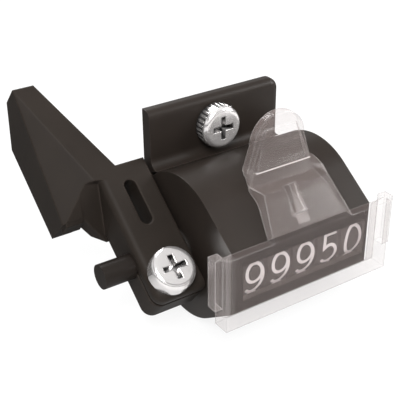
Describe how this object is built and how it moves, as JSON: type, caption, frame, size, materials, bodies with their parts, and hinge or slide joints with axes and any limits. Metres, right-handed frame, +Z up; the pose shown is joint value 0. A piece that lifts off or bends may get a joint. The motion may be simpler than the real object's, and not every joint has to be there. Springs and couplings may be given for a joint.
{
  "type": "operation counter",
  "caption": "Mechanical operation counter: black drum housing with mounting flange, number wheels behind a clear window cover, and a clamped actuating lever on the input shaft.",
  "frame": {"origin": "where the axis of the fixing screw leaves the mounting face at the back of the flange", "axes": "+X to the right along the number wheels as the digits are read, +Y back into the panel the counter is screwed to, +Z up towards the flange's top edge"},
  "size_m": [0.0414, 0.0364, 0.0299],
  "materials": {
    "black_moulding": "fine satin, warm black",
    "wheel_moulding": "matt black with pale printed digits",
    "clear_moulding": "clear, polished",
    "white_moulding": "natural white",
    "bright_screw": "bright nickel plate",
    "black_steel": "blackened, satin",
    "steel": "plain",
    "spring_steel": "plain"
  },
  "bodies": {
    "frame": {"housing": "black_moulding", "side_plate": "black_moulding", "upper_plate_screw": "bright_screw", "lower_plate_screw": "bright_screw", "window_cover": "clear_moulding", "fixing_screw": "bright_screw", "shaft_bush": "black_moulding", "carrier_rod": "steel", "pinion_carrier_1": "white_moulding", "pinion_carrier_2": "white_moulding", "pinion_carrier_3": "white_moulding", "pinion_carrier_4": "white_moulding", "detent_spring": "spring_steel"},
    "lever": {"drive_lever": "black_moulding", "lever_shaft": "black_steel", "clamp_screw": "bright_screw", "clamp_nut": "bright_screw", "return_spring": "spring_steel", "rocker_plate": "steel", "pawl_pin": "steel"},
    "pawl": {"drive_pawl": "steel"},
    "units": {"units_wheel": "wheel_moulding", "wheel_shaft": "steel", "ratchet_wheel": "steel"},
    "tens": {"tens_wheel": "wheel_moulding"},
    "hundreds": {"hundreds_wheel": "wheel_moulding"},
    "thousands": {"thousands_wheel": "wheel_moulding"},
    "ten_thousands": {"ten_thousands_wheel": "wheel_moulding"},
    "pinion_1": {"carry_pinion_1": "white_moulding"},
    "pinion_2": {"carry_pinion_2": "white_moulding"},
    "pinion_3": {"carry_pinion_3": "white_moulding"},
    "pinion_4": {"carry_pinion_4": "white_moulding"}
  },
  "joints": [
    {"name": "lever_swing", "type": "hinge", "parent": "frame", "child": "lever", "pos_m": [0, -0.0093, -0.0135], "axis": [1, 0, 0], "range_deg": [-25, 0], "stiffness_Nm_per_rad": 0.02, "springref_deg": 11.46},
    {"name": "pawl_swing", "type": "hinge", "parent": "lever", "child": "pawl", "pos_m": [0, -0.01749, -0.0151], "axis": [1, 0, 0], "range_deg": [-4, 4]},
    {"name": "units_spin", "type": "hinge", "parent": "frame", "child": "units", "pos_m": [0, -0.01279, -0.0129], "axis": [1, 0, 0], "continuous": true},
    {"name": "tens_spin", "type": "hinge", "parent": "frame", "child": "tens", "pos_m": [0, -0.01279, -0.0129], "axis": [1, 0, 0], "continuous": true},
    {"name": "hundreds_spin", "type": "hinge", "parent": "frame", "child": "hundreds", "pos_m": [0, -0.01279, -0.0129], "axis": [1, 0, 0], "continuous": true},
    {"name": "thousands_spin", "type": "hinge", "parent": "frame", "child": "thousands", "pos_m": [0, -0.01279, -0.0129], "axis": [1, 0, 0], "continuous": true},
    {"name": "ten_thousands_spin", "type": "hinge", "parent": "frame", "child": "ten_thousands", "pos_m": [0, -0.01279, -0.0129], "axis": [1, 0, 0], "continuous": true},
    {"name": "pinion_4_spin", "type": "hinge", "parent": "frame", "child": "pinion_4", "pos_m": [0, -0.01032, -0.0095], "axis": [1, 0, 0], "continuous": true},
    {"name": "pinion_3_spin", "type": "hinge", "parent": "frame", "child": "pinion_3", "pos_m": [0, -0.01032, -0.0095], "axis": [1, 0, 0], "continuous": true},
    {"name": "pinion_2_spin", "type": "hinge", "parent": "frame", "child": "pinion_2", "pos_m": [0, -0.01032, -0.0095], "axis": [1, 0, 0], "continuous": true},
    {"name": "pinion_1_spin", "type": "hinge", "parent": "frame", "child": "pinion_1", "pos_m": [0, -0.01032, -0.0095], "axis": [1, 0, 0], "continuous": true}
  ],
  "couplings": [
    {"joint": "tens_spin", "follows": "units_spin", "ratio": 0.1},
    {"joint": "hundreds_spin", "follows": "units_spin", "ratio": 0.01},
    {"joint": "thousands_spin", "follows": "units_spin", "ratio": 0.001},
    {"joint": "ten_thousands_spin", "follows": "units_spin", "ratio": 0.0001},
    {"joint": "pinion_4_spin", "follows": "units_spin", "ratio": 0.33333},
    {"joint": "pinion_3_spin", "follows": "units_spin", "ratio": 0.033333},
    {"joint": "pinion_2_spin", "follows": "units_spin", "ratio": 0.0033333},
    {"joint": "pinion_1_spin", "follows": "units_spin", "ratio": 0.00033333}
  ]
}
